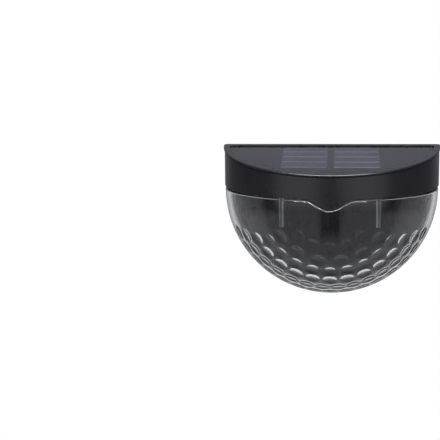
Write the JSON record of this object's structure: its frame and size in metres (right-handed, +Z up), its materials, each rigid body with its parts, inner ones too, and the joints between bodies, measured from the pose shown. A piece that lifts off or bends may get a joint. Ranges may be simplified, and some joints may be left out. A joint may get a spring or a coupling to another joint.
{
  "type": "solar fence light",
  "caption": "Half-round solar wall light: sloped solar top in a black frame, curved black skirt with a pointed apron, and a clear dimpled quarter-sphere lens.",
  "frame": {"origin": "on the flat back face, at the centre of the round lens", "axes": "+Y out of the back face, into the fence; +Z up; +X along the width; the light faces -Y"},
  "size_m": [0.13, 0.065, 0.0904],
  "materials": {
    "black_abs": "black moulded plastic, fine semi-gloss grain",
    "clear_lens": "clear moulded plastic, polished, with moulded bumps inside",
    "clear_resin": "clear resin, glossy",
    "silicon": "dark blue-grey solar cells",
    "tinned_ribbon": "tinned copper ribbon, satin",
    "black_laminate": "black laminate, satin",
    "foam_tape": "black foam tape",
    "silicone": "dark grey silicone",
    "screw_steel": "zinc-plated steel",
    "white_laminate": "white solder mask on glass-fibre board",
    "green_laminate": "green solder mask on glass-fibre board",
    "led_package": "white package with yellow phosphor",
    "chip_black": "black epoxy",
    "ferrite": "dark ferrite under a sleeve",
    "capacitor_can": "bare aluminium can",
    "cell_can": "nickel-plated can",
    "green_sleeve": "green shrink sleeve",
    "contact_steel": "nickel-plated spring steel",
    "knob_grey": "grey moulded plastic",
    "wire_red": "red insulation",
    "wire_black": "black insulation"
  },
  "bodies": {
    "shell": {"top_frame": "black_abs", "solar_window": "clear_resin", "solar_cells": "silicon", "cell_ribbons": "tinned_ribbon", "solar_board": "black_laminate", "panel_tape": "foam_tape", "side_band": "black_abs", "lens": "clear_lens", "back_plate": "black_abs", "back_seal": "silicone", "back_screws": "screw_steel", "inner_tray": "black_abs", "tray_screws": "screw_steel", "led_board": "white_laminate", "leds": "led_package", "led_board_screws": "screw_steel", "control_board": "green_laminate", "control_board_screws": "screw_steel", "controller_chip": "chip_black", "inductor": "ferrite", "capacitor": "capacitor_can", "battery_cell": "cell_can", "battery_sleeve": "green_sleeve", "battery_cradle": "black_abs", "battery_spring": "contact_steel", "positive_contact": "contact_steel", "switch_body": "chip_black", "switch_screws": "screw_steel", "panel_wire_red": "wire_red", "panel_wire_black": "wire_black", "battery_wire_red": "wire_red", "battery_wire_black": "wire_black", "led_wire_red": "wire_red", "led_wire_black": "wire_black", "switch_wire_1": "wire_red", "switch_wire_2": "wire_black"},
    "knob": {"switch_knob": "knob_grey"}
  },
  "joints": [
    {"name": "switch_slide", "type": "slide", "parent": "shell", "child": "knob", "axis": [1, 0, 0], "range_m": [0, 0.003]}
  ]
}
